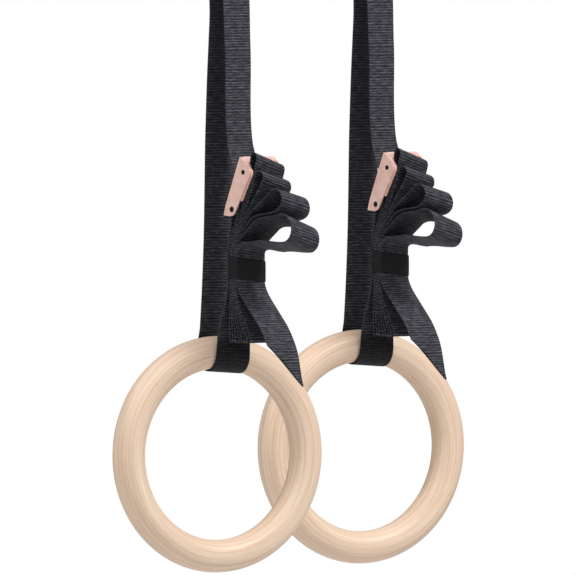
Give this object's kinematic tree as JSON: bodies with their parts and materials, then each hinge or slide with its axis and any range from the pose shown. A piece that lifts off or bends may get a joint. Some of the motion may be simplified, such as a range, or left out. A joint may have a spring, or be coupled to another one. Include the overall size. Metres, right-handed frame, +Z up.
{
  "type": "gymnastics rings",
  "caption": "Wooden gymnastics rings on adjustable webbing straps with cam buckles, the spare strap folded into loops under an elastic keeper.",
  "frame": {"origin": "bar axis at the middle of the left strap's saddle", "axes": "+X along the bar towards the right ring, -Y towards the front where the spare strap hangs, +Z up"},
  "size_m": [0.4667, 0.1813, 0.6432],
  "materials": {
    "birch": "satin",
    "webbing": "matte",
    "thread": "matte",
    "rose_metal": "satin",
    "steel": "satin",
    "elastic": "smooth"
  },
  "bodies": {
    "left_hanger": {"left_strap_saddle": "webbing"},
    "left_upper_strap": {"left_strap_front_upper": "webbing", "left_strap_back_upper": "webbing"},
    "left_lower_strap": {"left_strap_back_lower": "webbing", "left_strap_sling": "webbing", "left_strap_tab": "webbing", "left_tab_stitching": "thread", "left_strap_buckle_leg": "webbing", "left_strap_folds": "webbing", "left_strap_tail": "webbing", "left_buckle_frame": "rose_metal", "left_tab_bar": "steel", "left_cam_pin": "steel", "left_cam_spring": "steel", "left_keeper_band": "elastic"},
    "left_lever": {"left_cam_lever": "rose_metal"},
    "left_grip": {"left_ring": "birch"},
    "right_hanger": {"right_strap_saddle": "webbing"},
    "right_upper_strap": {"right_strap_front_upper": "webbing", "right_strap_back_upper": "webbing"},
    "right_lower_strap": {"right_strap_back_lower": "webbing", "right_strap_sling": "webbing", "right_strap_tab": "webbing", "right_tab_stitching": "thread", "right_strap_buckle_leg": "webbing", "right_strap_folds": "webbing", "right_strap_tail": "webbing", "right_buckle_frame": "rose_metal", "right_tab_bar": "steel", "right_cam_pin": "steel", "right_cam_spring": "steel", "right_keeper_band": "elastic"},
    "right_lever": {"right_cam_lever": "rose_metal"},
    "right_grip": {"right_ring": "birch"}
  },
  "joints": [
    {"name": "left_strap_swing", "type": "hinge", "parent": "left_hanger", "child": "left_upper_strap", "pos_m": [0, 0, 0], "axis": [1, 0, 0], "range_deg": [-45, 45]},
    {"name": "left_strap_twist", "type": "hinge", "parent": "left_upper_strap", "child": "left_lower_strap", "pos_m": [0, 0, -0.11], "axis": [0, 0, 1], "range_deg": [-90, 90], "stiffness_Nm_per_rad": 0.02},
    {"name": "left_cam_release", "type": "hinge", "parent": "left_lower_strap", "child": "left_lever", "pos_m": [-0.01169, -0.05064, -0.23246], "axis": [-0.9744, 0.225, 0], "range_deg": [0, 25], "stiffness_Nm_per_rad": 0.05},
    {"name": "left_ring_swing", "type": "hinge", "parent": "left_lower_strap", "child": "left_grip", "pos_m": [0, 0, -0.41025], "axis": [0.8966, -0.4373, -0.07], "range_deg": [-90, 90]},
    {"name": "right_strap_swing", "type": "hinge", "parent": "right_hanger", "child": "right_upper_strap", "pos_m": [0.255, 0, 0], "axis": [1, 0, 0], "range_deg": [-45, 45]},
    {"name": "right_strap_twist", "type": "hinge", "parent": "right_upper_strap", "child": "right_lower_strap", "pos_m": [0.255, 0, -0.11], "axis": [0, 0, 1], "range_deg": [-90, 90], "stiffness_Nm_per_rad": 0.02},
    {"name": "right_cam_release", "type": "hinge", "parent": "right_lower_strap", "child": "right_lever", "pos_m": [0.24331, -0.05064, -0.23246], "axis": [-0.9744, 0.225, 0], "range_deg": [0, 25], "stiffness_Nm_per_rad": 0.05},
    {"name": "right_ring_swing", "type": "hinge", "parent": "right_lower_strap", "child": "right_grip", "pos_m": [0.255, 0, -0.41025], "axis": [0.8966, -0.4373, -0.07], "range_deg": [-90, 90]},
    {"name": "strap_spacing", "type": "slide", "parent": "left_hanger", "child": "right_hanger", "axis": [1, 0, 0], "range_m": [0, 0.25]}
  ]
}
